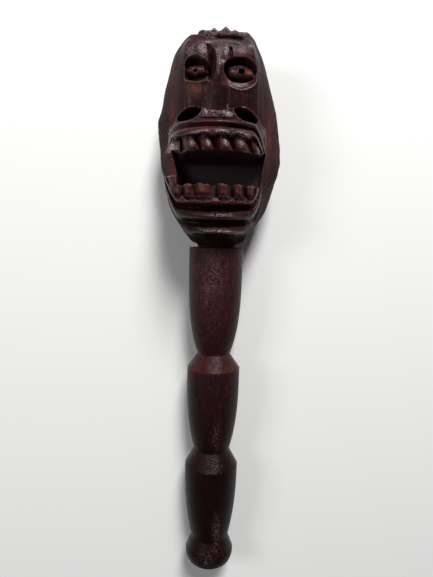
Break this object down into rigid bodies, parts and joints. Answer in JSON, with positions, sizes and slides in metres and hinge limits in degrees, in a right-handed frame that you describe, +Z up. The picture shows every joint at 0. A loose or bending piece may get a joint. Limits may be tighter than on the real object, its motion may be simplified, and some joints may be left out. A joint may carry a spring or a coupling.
{
  "type": "ceremonial staff",
  "caption": "Short ceremonial staff of dark varnished wood: a carved grotesque head with an open toothed mouth on a turned handle with a foot knob.",
  "frame": {"origin": "on the surface that the staff lies on, under the middle of its bounding box", "axes": "+Y from the foot knob to the head along the staff, +Z up, the way the face looks, +X to the right of someone who faces the head's front with the crown up"},
  "size_m": [0.0994, 0.4468, 0.092],
  "materials": {
    "head_wood": "glossy dark varnish over carved hardwood, worn redder on the raised edges",
    "shaft_wood": "satin red-brown varnish over turned hardwood, worn orange on the chamfers"
  },
  "bodies": {
    "root": {"carved_head": "head_wood", "turned_shaft": "shaft_wood"}
  },
  "joints": []
}
